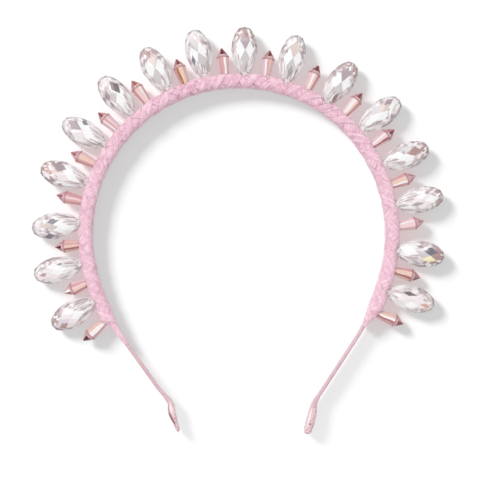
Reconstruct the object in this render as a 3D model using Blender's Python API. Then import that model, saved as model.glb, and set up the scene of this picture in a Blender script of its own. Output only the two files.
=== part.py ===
"""A headband tiara: a ribbon-covered spring band, a wound ribbon wrap and a crown of cut glass.

The tiara lies flat. Its arch is in the XY plane, the crown points to +Y and the front faces +Z.
The origin is at the bottom centre of the whole tiara, on the surface that it lies on.
All sizes are in metres and all angles in the tables are in degrees.
"""

import math
from collections import namedtuple

import bmesh
import bpy
from mathutils import Vector

MM = 0.001

# Clearance between two pieces that touch on the real tiara
CLEARANCE = 0.3 * MM

# Spring band, a flat strip on edge, seen from the front as a thin line
BAND_RADIUS = 63.4 * MM
BAND_THICKNESS = 1.5 * MM
BAND_WIDTH = 4.2 * MM
BAND_ARC_HALF = 105.0
LEG_TANGENT_RADIUS = 65.1 * MM
BAND_STEP = 5.5 * MM
MAX_TURN = 30.0

# Each leg eases straight by its turn, runs straight, bends at its tip and folds back outwards
Leg = namedtuple("Leg", "turn length tip_bend tip_length fold_radius wrap_end wrap_taper")
LEFT_LEG = Leg(
    turn=20.6,
    length=31.7 * MM,
    tip_bend=14.8,
    tip_length=9.2 * MM,
    fold_radius=0.85 * MM,
    wrap_end=127.0,
    wrap_taper=2.2 * MM,
)
RIGHT_LEG = Leg(
    turn=18.1,
    length=32.6 * MM,
    tip_bend=18.7,
    tip_length=9.0 * MM,
    fold_radius=0.95 * MM,
    wrap_end=125.0,
    wrap_taper=9.0 * MM,
)
TIP_BEND_RADIUS = 3.0 * MM
FOLD_TURN = 180.0

# Ribbon wrap, wound round the band and round the inner ends of the stones
WRAP_INNER = 61.4 * MM
WRAP_OUTER = 67.5 * MM
WRAP_HALF_HEIGHT = 3.6 * MM
WRAP_SIDES = 12
WRAP_SQUARENESS = 3.0
WRAP_STEP = 2.0 * MM
TURN_PITCH = 6.0 * MM
TURN_RIDGE = 0.05
WRAP_END_WALL = 0.55 * MM
UNDERSIDE = -0.9

# The wrap's flat underside lies on the surface, so its middle and the band are this high
MIDDLE_LEVEL = WRAP_HALF_HEIGHT * math.sin(math.pi * 5 / WRAP_SIDES) ** (2 / WRAP_SQUARENESS)

# Clear drops: eight-sided rings of corners, each ring turned half a facet from the next
DROP_LENGTH = 21.2 * MM
DROP_WIDTH = 11.1 * MM
DROP_THICKNESS = 6.8 * MM
DROP_SIDES = 8
# columns: distance from the outer point, corner radius
DROP_RINGS = (
    (0.85 * MM, 2.60 * MM),
    (3.2 * MM, 4.10 * MM),
    (6.4 * MM, 5.50 * MM),
    (9.9 * MM, 5.55 * MM),
    (14.4 * MM, 5.25 * MM),
    (18.1 * MM, 3.50 * MM),
    (20.1 * MM, 2.10 * MM),
)
DROP_WIDEST_RING = 3
DROP_TABLE_DEPTH = 0.08 * MM
DROP_NOTCH_LIFT = 5.0 * MM

# Rose spikes: a tapering six-sided prism with a bevelled shoulder and a pyramid point
SPIKE_SIDES = 6
# columns: distance from the outer point, corner radius
SPIKE_RINGS = (
    (0.0 * MM, 0.22 * MM),
    (2.4 * MM, 1.92 * MM),
    (3.5 * MM, 2.70 * MM),
    (3.9 * MM, 2.70 * MM),
    (11.8 * MM, 1.70 * MM),
)
SPIKE_LENGTH = SPIKE_RINGS[-1][0]

# Height of the middle of every stone above the surface
STONE_LEVEL = 3.7 * MM

# Places of the drops from the left end round to the right end
# columns: angle round the arc, lean from the radius, reach of the outer point
DROPS = (
    (205.6, 4.5, 87.5 * MM),
    (191.1, 2.4, 87.9 * MM),
    (177.3, 9.6, 87.2 * MM),
    (161.4, 0.0, 87.9 * MM),
    (146.9, 4.1, 87.9 * MM),
    (131.6, -0.5, 87.7 * MM),
    (116.7, 3.0, 87.8 * MM),
    (102.5, 0.9, 88.0 * MM),
    (88.3, 1.4, 87.2 * MM),
    (73.2, 3.0, 87.2 * MM),
    (56.3, -2.4, 86.6 * MM),
    (40.3, -3.5, 88.0 * MM),
    (25.1, -4.3, 87.7 * MM),
    (10.7, 1.0, 87.4 * MM),
    (-6.1, -2.7, 86.8 * MM),
    (-20.5, 4.0, 87.3 * MM),
)

# Places of the spikes from the left end round to the right end
# columns: angle round the arc, lean from the radius, reach of the outer point
SPIKES = (
    (213.8, 7.0, 79.2 * MM),
    (198.1, 6.3, 77.4 * MM),
    (183.9, 1.3, 77.4 * MM),
    (168.0, -1.4, 78.3 * MM),
    (154.1, -0.3, 78.5 * MM),
    (139.2, 0.0, 78.1 * MM),
    (124.9, 0.9, 78.6 * MM),
    (109.7, 0.8, 78.1 * MM),
    (95.2, 2.2, 78.4 * MM),
    (80.4, 1.5, 78.3 * MM),
    (64.7, 0.7, 78.3 * MM),
    (48.8, 0.5, 78.6 * MM),
    (33.8, 2.0, 78.6 * MM),
    (18.2, 1.5, 78.0 * MM),
    (3.4, 8.2, 77.9 * MM),
    (-13.4, -1.8, 78.2 * MM),
    (-29.2, 7.1, 78.6 * MM),
)


def clear_scene():
    """Start from an empty scene."""
    for item in list(bpy.data.objects):
        bpy.data.objects.remove(item, do_unlink=True)


def make_material(name, colour, roughness, metallic=0.0, transmission=0.0):
    """One finish, used by every piece that is made of it."""
    material = bpy.data.materials.new(name)
    material.use_nodes = True
    shader = material.node_tree.nodes["Principled BSDF"]
    shader.inputs["Base Color"].default_value = (*colour, 1.0)
    shader.inputs["Roughness"].default_value = roughness
    shader.inputs["Metallic"].default_value = metallic
    shader.inputs["Transmission Weight"].default_value = transmission
    material.diffuse_color = (*colour, 1.0)
    return material


def add_object(name, bm, material=None):
    """Turn a finished bmesh into a named object with its faces pointing outwards."""
    bmesh.ops.recalc_face_normals(bm, faces=bm.faces)
    mesh = bpy.data.meshes.new(name)
    bm.to_mesh(mesh)
    bm.free()
    if material:
        mesh.materials.append(material)
    item = bpy.data.objects.new(name, mesh)
    bpy.context.collection.objects.link(item)
    return item


def hide_cutter(item):
    """A cutter is a tool and not a piece of the tiara."""
    item.hide_render = True
    item.display_type = "WIRE"


def cut_away(item, cutter, name):
    """Take the cutter's shape out of a piece."""
    cut = item.modifiers.new(name, "BOOLEAN")
    cut.operation = "DIFFERENCE"
    cut.solver = "EXACT"
    cut.object = cutter


def walk(point, heading, moves, step):
    """Follow moves of (length, turn to the right) and give stations of (point, heading)."""
    stations = [(point, heading)]
    for length, turn in moves:
        count = max(1, math.ceil(length / step), math.ceil(abs(turn) / MAX_TURN))
        part_length = length / count
        part_turn = math.radians(turn) / count
        chord = part_length
        if part_turn:
            chord = 2 * part_length / part_turn * math.sin(part_turn / 2)
        for _ in range(count):
            middle = heading - part_turn / 2
            point = point + chord * Vector((math.cos(middle), math.sin(middle)))
            heading = heading - part_turn
            stations.append((point, heading))
    return stations


def arc_move(radius, turn):
    """An arc of a given radius as a move."""
    return (radius * math.radians(abs(turn)), turn)


def arch_moves(leg_turn):
    """From the crown down one side to the start of its straight leg."""
    spread = 1 - math.cos(math.radians(leg_turn))
    easing_radius = BAND_RADIUS + (LEG_TANGENT_RADIUS - BAND_RADIUS) / spread
    return [arc_move(BAND_RADIUS, BAND_ARC_HALF), arc_move(easing_radius, leg_turn)]


def side_stations(moves, step, mirrored):
    """Stations down the right side, or mirrored down the left side."""
    stations = walk(Vector((0.0, BAND_RADIUS)), 0.0, moves, step)
    if not mirrored:
        return stations
    return [(Vector((-p.x, p.y)), math.pi - heading) for p, heading in stations]


def band_side(leg, mirrored):
    """One half of the band, from the crown to the free end of its folded tip."""
    moves = arch_moves(leg.turn)
    moves.append((leg.length, 0.0))
    moves.append(arc_move(TIP_BEND_RADIUS, -leg.tip_bend))
    moves.append((leg.tip_length, 0.0))
    moves.append(arc_move(leg.fold_radius, -FOLD_TURN))
    moves.append((leg.tip_length, 0.0))
    return side_stations(moves, BAND_STEP, mirrored)


def strip_on_edge(name, points, width, thickness, material=None):
    """A flat strip that stands on its edge along a line of points."""
    bm = bmesh.new()
    low = MIDDLE_LEVEL - width / 2
    corners = [bm.verts.new((p.x, p.y, low)) for p in points]
    edges = [bm.edges.new(pair) for pair in zip(corners, corners[1:])]
    raised = bmesh.ops.extrude_edge_only(bm, edges=edges)
    tops = [v for v in raised["geom"] if isinstance(v, bmesh.types.BMVert)]
    bmesh.ops.translate(bm, vec=(0.0, 0.0, width), verts=tops)
    strip = add_object(name, bm, material)
    walls = strip.modifiers.new("thickness", "SOLIDIFY")
    walls.thickness = thickness
    walls.offset = 0.0
    walls.use_even_offset = True
    return strip


def make_band(material):
    """The spring band with both ends folded back into flat loops."""
    left = [p for p, _ in band_side(LEFT_LEG, True)]
    right = [p for p, _ in band_side(RIGHT_LEG, False)]
    points = left[:0:-1] + right
    return strip_on_edge("band", points, BAND_WIDTH, BAND_THICKNESS, material)


def make_band_channel():
    """The room that the band takes inside the wrap, open at both ends."""
    halves = []
    for leg, mirrored in ((LEFT_LEG, True), (RIGHT_LEG, False)):
        moves = arch_moves(leg.turn)
        moves.append((leg.length / 2, 0.0))
        halves.append([p for p, _ in side_stations(moves, BAND_STEP, mirrored)])
    points = halves[0][:0:-1] + halves[1]
    room = 2 * CLEARANCE
    channel = strip_on_edge("band_channel", points, BAND_WIDTH + room, BAND_THICKNESS + room)
    hide_cutter(channel)
    return channel


def wrap_side(leg, mirrored):
    """Stations of the wrap on one side, with how many tapers are left to its end."""
    moves = arch_moves(leg.turn)
    moves.append((leg.length, 0.0))
    kept = []
    for point, heading in side_stations(moves, WRAP_STEP, mirrored):
        from_crown = math.degrees(math.atan2(abs(point.x), point.y))
        if from_crown > leg.wrap_end:
            break
        kept.append((point, heading))
    last = len(kept) - 1
    return [(p, h, (last - i) * WRAP_STEP / leg.wrap_taper) for i, (p, h) in enumerate(kept)]


def wrap_ring(point, heading, taper_share, along, mirrored):
    """Corners of one section of the wrap, fuller in the middle of each ribbon turn."""
    ease = math.sin(min(1.0, taper_share) * math.pi / 2)
    thin = BAND_THICKNESS / 2 + CLEARANCE + WRAP_END_WALL
    low = BAND_WIDTH / 2 + CLEARANCE + WRAP_END_WALL
    inner = thin + ease * (BAND_RADIUS - WRAP_INNER - thin)
    outer = thin + ease * (WRAP_OUTER - BAND_RADIUS - thin)
    half_height = low + ease * (WRAP_HALF_HEIGHT - low)
    middle = (outer - inner) / 2
    half_width = (outer + inner) / 2
    outward_turn = -math.pi / 2 if mirrored else math.pi / 2
    outward = Vector((math.cos(heading + outward_turn), math.sin(heading + outward_turn)))
    power = 2 / WRAP_SQUARENESS
    ring = []
    for k in range(WRAP_SIDES):
        around = 2 * math.pi * (k + 0.5) / WRAP_SIDES
        across = math.cos(around)
        up = math.sin(around)
        wave = 0.5 + 0.5 * math.sin(2 * math.pi * along / TURN_PITCH + around)
        swell = 1 + TURN_RIDGE * wave * ease
        if up < UNDERSIDE:
            swell = 1.0
        x = middle + swell * half_width * math.copysign(abs(across) ** power, across)
        z = swell * half_height * math.copysign(abs(up) ** power, up)
        place = point + x * outward
        ring.append((place.x, place.y, MIDDLE_LEVEL + z))
    return ring


def loft(rings):
    """Skin equal rings of corners into one closed body."""
    bm = bmesh.new()
    rows = [[bm.verts.new(corner) for corner in ring] for ring in rings]
    count = len(rows[0])
    for row, after in zip(rows, rows[1:]):
        for k in range(count):
            following = (k + 1) % count
            bm.faces.new((row[k], row[following], after[following], after[k]))
    bm.faces.new(rows[0])
    bm.faces.new(rows[-1])
    return bm


def make_wrap(material):
    """The wound ribbon over the arch, tapering onto both legs."""
    rings = []
    for i, (point, heading, taper_share) in enumerate(wrap_side(LEFT_LEG, True)):
        rings.append(wrap_ring(point, heading, taper_share, -i * WRAP_STEP, True))
    rings = rings[:0:-1]
    for i, (point, heading, taper_share) in enumerate(wrap_side(RIGHT_LEG, False)):
        rings.append(wrap_ring(point, heading, taper_share, i * WRAP_STEP, False))
    return add_object("wrap", loft(rings), material)


def cut_table(bm, height):
    """Cut the front or the back corner off a drop as a small flat table."""
    side = math.copysign(1.0, height)
    geometry = bm.verts[:] + bm.edges[:] + bm.faces[:]
    cut = bmesh.ops.bisect_plane(
        bm, geom=geometry, plane_co=(0.0, 0.0, height), plane_no=(0.0, 0.0, side), clear_outer=True
    )
    rim = [e for e in cut["geom_cut"] if isinstance(e, bmesh.types.BMEdge)]
    bmesh.ops.contextual_create(bm, geom=rim)


def drop_body():
    """A faceted drop along Y, its outer point at +Y, with staggered rows of flat facets."""
    bm = bmesh.new()
    rows = []
    for index, (station, radius) in enumerate(DROP_RINGS):
        turned = (index - DROP_WIDEST_RING) % 2
        row = []
        for k in range(DROP_SIDES):
            around = 2 * math.pi * (k + turned / 2) / DROP_SIDES
            x = radius * math.sin(around)
            z = radius * math.cos(around) * DROP_THICKNESS / DROP_WIDTH
            row.append(bm.verts.new((x, DROP_LENGTH / 2 - station, z)))
        rows.append(row)
    outer_point = bm.verts.new((0.0, DROP_LENGTH / 2, 0.0))
    inner_point = bm.verts.new((0.0, -DROP_LENGTH / 2, 0.0))
    rows = [[outer_point] * DROP_SIDES] + rows + [[inner_point] * DROP_SIDES]
    for index in range(1, len(rows) - 1):
        turned = (index - 1 - DROP_WIDEST_RING) % 2
        for k in range(DROP_SIDES):
            left_corner = rows[index][k]
            right_corner = rows[index][(k + 1) % DROP_SIDES]
            peer = (k + turned) % DROP_SIDES
            bm.faces.new((left_corner, right_corner, rows[index - 1][peer]))
            bm.faces.new((right_corner, left_corner, rows[index + 1][peer]))
    bmesh.ops.recalc_face_normals(bm, faces=bm.faces)
    table_height = DROP_THICKNESS / 2 - DROP_TABLE_DEPTH
    cut_table(bm, table_height)
    cut_table(bm, -table_height)
    return bm


def spike_body():
    """A six-sided spike along Y, its point at +Y and one flat side facing the front."""
    rings = []
    for station, radius in SPIKE_RINGS:
        ring = []
        for k in range(SPIKE_SIDES):
            around = 2 * math.pi * (k + 0.5) / SPIKE_SIDES
            x = radius * math.sin(around)
            z = radius * math.cos(around)
            ring.append((x, SPIKE_LENGTH / 2 - station, z))
        rings.append(ring)
    return loft(rings)


def stone_mesh(name, bm, material):
    """The cut body that all stones of one kind share."""
    bmesh.ops.recalc_face_normals(bm, faces=bm.faces)
    mesh = bpy.data.meshes.new(name)
    bm.to_mesh(mesh)
    bm.free()
    mesh.materials.append(material)
    return mesh


def place_stone(item, row, length):
    """Stand a stone on the arch with its outer point at its reach from the arc's centre."""
    angle, lean, reach = row
    middle = reach - length / 2
    turn = math.radians(angle)
    item.location = (middle * math.cos(turn), middle * math.sin(turn), STONE_LEVEL)
    item.rotation_euler = (0.0, 0.0, turn - math.pi / 2 + math.radians(lean))


def make_stones(prefix, table, mesh, length):
    """Copies of one cut stone, numbered from the left end."""
    stones = []
    for number, row in enumerate(table, start=1):
        stone = bpy.data.objects.new(f"{prefix}_{number:02d}", mesh)
        bpy.context.collection.objects.link(stone)
        place_stone(stone, row, length)
        stones.append(stone)
    return stones


def seat_outline(mesh, lift):
    """A stone's outline grown by the clearance, drawn upwards if it lies in an open notch."""
    corners = [vert.co for vert in mesh.vertices]
    growth = []
    for axis in range(3):
        extent = max(c[axis] for c in corners) - min(c[axis] for c in corners)
        growth.append((extent + 2 * CLEARANCE) / extent)
    outline = bmesh.new()
    rises = (0.0, lift) if lift else (0.0,)
    for rise in rises:
        for corner in corners:
            grown = [part * scale for part, scale in zip(corner, growth)]
            outline.verts.new((grown[0], grown[1], grown[2] + rise))
    hull = bmesh.ops.convex_hull(outline, input=outline.verts)
    inside = [v for v in hull["geom_interior"] if isinstance(v, bmesh.types.BMVert)]
    bmesh.ops.delete(outline, geom=inside, context="VERTS")
    return outline


def make_seats(name, stones, lift):
    """One cutter that holds the seats of all the stones of one kind."""
    pattern = bpy.data.meshes.new(name)
    outline = seat_outline(stones[0].data, lift)
    outline.to_mesh(pattern)
    outline.free()
    seats = bmesh.new()
    for stone in stones:
        before = len(seats.verts)
        seats.from_mesh(pattern)
        bmesh.ops.transform(seats, matrix=stone.matrix_basis, verts=seats.verts[before:])
    cutter = add_object(name, seats)
    hide_cutter(cutter)
    return cutter


def lowest_and_highest(items):
    """The corners of the box round some objects as they stand."""
    bpy.context.view_layer.update()
    graph = bpy.context.evaluated_depsgraph_get()
    corners = []
    for item in items:
        shown = item.evaluated_get(graph)
        corners += [shown.matrix_world @ vert.co for vert in shown.data.vertices]
    low = Vector([min(c[axis] for c in corners) for axis in range(3)])
    high = Vector([max(c[axis] for c in corners) for axis in range(3)])
    return low, high


def build():
    """Make every piece, seat the stones and set the origin."""
    clear_scene()
    satin = make_material("satin_ribbon", (0.80, 0.50, 0.57), 0.55)
    ribbon = make_material("matte_ribbon", (0.86, 0.52, 0.68), 0.85)
    clear_glass = make_material("clear_glass", (0.97, 0.95, 0.97), 0.03, transmission=0.9)
    rose_glass = make_material("rose_glass", (0.90, 0.52, 0.54), 0.05, transmission=0.6)

    arch = bpy.data.objects.new("arch_centre", None)
    bpy.context.collection.objects.link(arch)

    band = make_band(satin)
    wrap = make_wrap(ribbon)
    drops = make_stones("drop", DROPS, stone_mesh("drop", drop_body(), clear_glass), DROP_LENGTH)
    spikes = make_stones("spike", SPIKES, stone_mesh("spike", spike_body(), rose_glass), SPIKE_LENGTH)

    cutters = [
        make_band_channel(),
        make_seats("drop_seats", drops, DROP_NOTCH_LIFT),
        make_seats("spike_seats", spikes, 0.0),
    ]
    for cutter in cutters:
        cut_away(wrap, cutter, cutter.name)
    pieces = [band, wrap] + drops + spikes
    for item in pieces + cutters:
        item.parent = arch

    low, high = lowest_and_highest(pieces)
    arch.location = (-(low.x + high.x) / 2, -(low.y + high.y) / 2, -low.z)


build()
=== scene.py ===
"""The looks of a headband tiara that lies flat: ribbon, wound tape, clear drops and rose spikes."""

import math
from collections import namedtuple

import bpy
import numpy as np
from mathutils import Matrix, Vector, noise
from mathutils.kdtree import KDTree


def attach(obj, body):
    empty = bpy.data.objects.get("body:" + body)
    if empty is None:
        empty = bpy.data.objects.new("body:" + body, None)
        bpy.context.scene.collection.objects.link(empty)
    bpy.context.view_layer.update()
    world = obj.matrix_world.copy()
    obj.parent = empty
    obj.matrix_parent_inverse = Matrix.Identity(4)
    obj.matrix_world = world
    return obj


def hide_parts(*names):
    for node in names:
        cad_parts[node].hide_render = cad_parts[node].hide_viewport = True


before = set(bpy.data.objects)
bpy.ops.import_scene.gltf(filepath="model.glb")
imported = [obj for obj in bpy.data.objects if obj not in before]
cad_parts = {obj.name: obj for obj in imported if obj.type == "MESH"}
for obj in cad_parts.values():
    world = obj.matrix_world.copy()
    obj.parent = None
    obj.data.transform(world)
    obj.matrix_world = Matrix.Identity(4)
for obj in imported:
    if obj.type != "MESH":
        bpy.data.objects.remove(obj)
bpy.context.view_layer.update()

# Camera, straight above the tiara and as far off as a long lens needs.
# The frame is 480 by 480 pixels, and one pixel is 0.42 mm at the middle of the stones.
MM = 0.001
PIXELS = 480
PIXEL_SIZE = 0.42 * MM
LENS = 120.0
SENSOR = 36.0
NEAREST_SEEN = 0.01
ARCH_X = 0.397 * MM
ARCH_Y = -1.923 * MM
ARCH_PIXEL_X = 239.0
ARCH_PIXEL_Y = 234.2
STONE_LEVEL = 3.7 * MM
view_x = ARCH_X + (PIXELS / 2 - ARCH_PIXEL_X) * PIXEL_SIZE
view_y = ARCH_Y - (PIXELS / 2 - ARCH_PIXEL_Y) * PIXEL_SIZE
view_distance = PIXELS * PIXEL_SIZE * LENS / SENSOR
bpy.ops.object.select_all(action="DESELECT")
bpy.ops.object.camera_add(location=(view_x, view_y, STONE_LEVEL + view_distance), rotation=(0, 0, 0))
camera = bpy.context.object
camera.name = "camera_above"
camera.data.lens = LENS
camera.data.sensor_width = SENSOR
camera.data.clip_start = NEAREST_SEEN
bpy.context.scene.camera = camera
bpy.context.scene.view_settings.view_transform = "Standard"


# Studio: a plain white floor that glows a little, pale light from all round, low suns and a window.
# The low suns stand at the upper left and throw the soft shadows; they light the floor alone. The
# window's broad light comes from the same side and falls on the tiara alone.
class Level:
    """A socket of a finish that takes part in Python sums."""

    def __init__(self, finish, socket):
        self.finish = finish
        self.socket = socket

    def sum(self, operation, first, second=0.0):
        return self.finish.node("Math", {"operation": operation}, {0: first, 1: second})

    def __add__(self, other):
        return self.sum("ADD", self, other)

    def __radd__(self, other):
        return self.sum("ADD", other, self)

    def __sub__(self, other):
        return self.sum("SUBTRACT", self, other)

    def __rsub__(self, other):
        return self.sum("SUBTRACT", other, self)

    def __mul__(self, other):
        return self.sum("MULTIPLY", self, other)

    def __rmul__(self, other):
        return self.sum("MULTIPLY", other, self)

    def __truediv__(self, other):
        return self.sum("DIVIDE", self, other)

    def __pow__(self, other):
        return self.sum("POWER", self, other)

    def __gt__(self, other):
        return self.sum("GREATER_THAN", self, other)

    def __lt__(self, other):
        return self.sum("LESS_THAN", self, other)

    def __abs__(self):
        return self.sum("ABSOLUTE", self)


class Finish:
    """A node-based finish; constants are set on its shader, and the rest is fed to it."""

    def __init__(self, name, **constants):
        self.material = bpy.data.materials.new(name)
        self.material.use_nodes = True
        self.tree = self.material.node_tree
        self.shader = self.tree.nodes["Principled BSDF"]
        self.shade(**constants)

    def feed(self, socket, value):
        if isinstance(value, Level):
            self.tree.links.new(value.socket, socket)
        elif socket.type == "RGBA" and len(value) == 3:
            socket.default_value = (*value, 1.0)
        else:
            socket.default_value = value

    def shade(self, **feeds):
        for socket, value in feeds.items():
            self.feed(self.shader.inputs[socket.replace("_", " ")], value)
        return self.material

    def node(self, kind, settings=None, sockets=None, output=0):
        made = self.tree.nodes.new("ShaderNode" + kind)
        for name, value in (settings or {}).items():
            if name == "stops":
                ramp = made.color_ramp
                while len(ramp.elements) < len(value):
                    ramp.elements.new(0.5)
                for element, (place, colour) in zip(ramp.elements, value):
                    element.position = place
                    element.color = (*colour, 1.0)
            elif name == "steps":
                made.color_ramp.interpolation = value
            else:
                setattr(made, name, value)
        for name, value in (sockets or {}).items():
            self.feed(made.inputs[name], value)
        return Level(self, made.outputs[output])

    def place(self):
        return self.node("TexCoord", output=3)

    def part(self, where, axis):
        """One of the three numbers of a place: 0 for X, 1 for Y, 2 for Z."""
        return self.node("SeparateXYZ", sockets={0: where}, output=axis)

    def join(self, first, second, third):
        return self.node("CombineXYZ", sockets={0: first, 1: second, 2: third})

    def kept(self, name):
        """A number that the mesh keeps at each corner."""
        return self.node("Attribute", {"attribute_name": name}, output=2)

    def rest(self, level):
        """What is left of a number over the whole number below it."""
        return self.node("Math", {"operation": "FRACT"}, {0: level})

    def noise(self, where, scale, detail=3.0, rough=0.5):
        sockets = {"Vector": where, "Scale": scale, "Detail": detail, "Roughness": rough}
        return self.node("TexNoise", sockets=sockets)

    def stretch(self, where, scale):
        return self.node("Mapping", sockets={"Vector": where, "Scale": scale})

    def mix(self, share, first, second):
        return self.node("Mix", {"data_type": "RGBA"}, {0: share, 6: first, 7: second}, output=2)

    def spread(self, level, low, high, first, last):
        sockets = {"Value": level, "From Min": low, "From Max": high, "To Min": first, "To Max": last}
        return self.node("MapRange", {"clamp": True}, sockets)

    def bump(self, height, depth):
        return self.node("Bump", sockets={"Height": height, "Distance": depth})

    def cover(self, share, **feeds):
        """Lay a second shader over the first by a share that may change from place to place."""
        below = self.shader
        self.shader = self.tree.nodes.new("ShaderNodeBsdfPrincipled")
        joined = self.tree.nodes.new("ShaderNodeMixShader")
        self.feed(joined.inputs[0], share)
        self.tree.links.new(below.outputs[0], joined.inputs[1])
        self.tree.links.new(self.shader.outputs[0], joined.inputs[2])
        self.tree.links.new(joined.outputs[0], self.tree.nodes["Material Output"].inputs["Surface"])
        return self.shade(**feeds)


FLOOR_SIZE = 10.0
FLOOR_LEVEL = -0.02 * MM
FLOOR_TINT = (0.24, 0.24, 0.24)
CLEAR_GLOW = (0.46, 0.457, 0.458)
ROSY_BOUNCE_GLOW = (0.53, 0.43, 0.436)
ROSY_RING_INSIDE = (63.0 * MM, 66.0 * MM)
ROSY_RING_OUTSIDE = (72.0 * MM, 84.0 * MM)
ROSY_FOOT = (-44.0 * MM, -34.0 * MM)
bpy.ops.object.select_all(action="DESELECT")
bpy.ops.mesh.primitive_plane_add(size=FLOOR_SIZE, location=(0, 0, FLOOR_LEVEL))
floor = bpy.context.object
floor.name = "floor"
floor_finish = Finish("lit_white_floor", Roughness=0.9, Specular_IOR_Level=0.0, Emission_Strength=1.0)

# Painted bounce light: the floor's glow is painted rosier close round the arch, as the pink tape and
# the rose stones would light it, but not by the bare legs.
sockets = {"Vector": floor_finish.place(), "Location": (-ARCH_X, -ARCH_Y, 0.0)}
from_arch = floor_finish.node("Mapping", sockets=sockets)
arch_radius = floor_finish.node("VectorMath", {"operation": "LENGTH"}, {0: from_arch}, output=1)
rosy_bounce = floor_finish.spread(arch_radius, *ROSY_RING_INSIDE, 0.0, 1.0)
rosy_bounce = rosy_bounce * floor_finish.spread(arch_radius, *ROSY_RING_OUTSIDE, 1.0, 0.0)
rosy_bounce = rosy_bounce * floor_finish.spread(floor_finish.part(from_arch, 1), *ROSY_FOOT, 0.0, 1.0)
floor_glow = floor_finish.mix(rosy_bounce, CLEAR_GLOW, ROSY_BOUNCE_GLOW)
floor.data.materials.append(floor_finish.shade(Base_Color=FLOOR_TINT, Emission_Color=floor_glow))

SKY_STRENGTH = 0.85
# columns: how high the sky begins or ends to change, its colour there
SKY_STOPS = ((0.05, (0.42, 0.40, 0.41, 1.0)), (0.60, (1.0, 1.0, 1.0, 1.0)))
sky = bpy.data.worlds.new("white_room")
bpy.context.scene.world = sky
sky.use_nodes = True
sky.node_tree.nodes["Background"].inputs["Strength"].default_value = SKY_STRENGTH
sky_way = sky.node_tree.nodes.new("ShaderNodeTexCoord")
sky_parts = sky.node_tree.nodes.new("ShaderNodeSeparateXYZ")
sky_ramp = sky.node_tree.nodes.new("ShaderNodeValToRGB")
for sky_stop, (sky_height, sky_colour) in zip(sky_ramp.color_ramp.elements, SKY_STOPS):
    sky_stop.position = sky_height
    sky_stop.color = sky_colour
sky.node_tree.links.new(sky_way.outputs["Generated"], sky_parts.inputs[0])
sky.node_tree.links.new(sky_parts.outputs["Z"], sky_ramp.inputs["Fac"])
sky.node_tree.links.new(sky_ramp.outputs["Color"], sky.node_tree.nodes["Background"].inputs["Color"])

LOW_SUN_TURN = (math.radians(58.5), 0.0, math.radians(229.5))
LOW_SUN_STRENGTH = 4.9
LOW_SUN_BREADTH = math.radians(18.0)
WINDOW_TURN = (math.radians(38.0), 0.0, math.radians(215.0))
WINDOW_STRENGTH = 1.5
WINDOW_BREADTH = math.radians(50.0)


def add_sun(name, turn, strength, breadth):
    """A light that comes the same way everywhere, as broad in the sky as is wanted."""
    bpy.ops.object.light_add(type="SUN", rotation=turn)
    made = bpy.context.object
    made.name = name
    made.data.energy = strength
    made.data.angle = breadth
    return made


def light_only(light, item, state):
    """Keep a light to one object, or keep it off that object."""
    linked = bpy.data.collections.new(light.name + "_receives")
    linked.objects.link(item)
    light.light_linking.receiver_collection = linked
    linked.collection_objects[0].light_linking.link_state = state


low_sun = add_sun("low_sun", LOW_SUN_TURN, LOW_SUN_STRENGTH, LOW_SUN_BREADTH)
sun_past_legs = add_sun("low_sun_past_legs", LOW_SUN_TURN, LOW_SUN_STRENGTH, LOW_SUN_BREADTH)
window = add_sun("upper_left_window", WINDOW_TURN, WINDOW_STRENGTH, WINDOW_BREADTH)
light_only(low_sun, floor, "INCLUDE")
light_only(sun_past_legs, floor, "INCLUDE")
light_only(window, floor, "EXCLUDE")


# Spring band: a thin steel strip on edge inside a glued satin ribbon, dusty pink.
# Its ends fold back outwards into flat loops; the ribbon's turns show as faint slanting seams.
MIDDLE_LEVEL = 3.52 * MM
BAND_RADIUS = 63.4 * MM
BAND_ARC_HALF = math.radians(105.0)
LEG_TANGENT_RADIUS = 65.1 * MM
TIP_BEND_RADIUS = 3.0 * MM
STRIP_HALF = 0.70 * MM
STRIP_HALF_HEIGHT = 2.1 * MM
STRIP_CORNER = 0.5 * MM
CORNER_SHARE = 0.7
FLAT_CORNERS = 6
STRIP_STEP = 0.5 * MM
RUN_STEP = 0.25 * MM
FINE_BEFORE_BEND = 6.0 * MM
ROUND_END = 1.3 * MM
LEAST_CLOSING = 0.02
SEAM_PITCH = 5.2 * MM
SEAM_HEIGHT = 0.05 * MM
SEAM_LEAN_UP = 0.8
SEAM_LEAN_OUT = 1.2
GROOVE_HALF = 0.28 * MM
GROOVE_STARTS = (-1.0 * MM, 2.5 * MM)
GROOVE_ENDS = (-2.5 * MM, -1.0 * MM)
Leg = namedtuple("Leg", "side turn length tip_bend end")
LEGS = (
    Leg(-1, 20.6, 31.7 * MM, 14.8, 192.4 * MM),
    Leg(1, 18.1, 32.6 * MM, 18.7, 191.9 * MM),
)
# columns: distance from the crown, how far out the middle is, half the width (all in mm)
LEFT_TIP = (
    (172.0, 0.0, 0.70), (176.0, -0.38, 0.72), (179.3, -0.60, 1.04), (181.5, 0.03, 1.45), (184.0, 0.50, 1.55),
    (186.2, 0.66, 1.28), (188.6, 0.64, 0.85), (192.4, 0.70, 0.72),
)
RIGHT_TIP = (
    (171.0, 0.0, 0.70), (175.0, -0.12, 0.70), (177.6, 0.05, 0.96), (179.9, 0.66, 1.30), (182.5, 0.88, 1.66),
    (185.0, 0.92, 1.76), (187.4, 0.90, 1.78), (189.9, 0.78, 1.62), (191.9, 0.74, 1.45),
)
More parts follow.
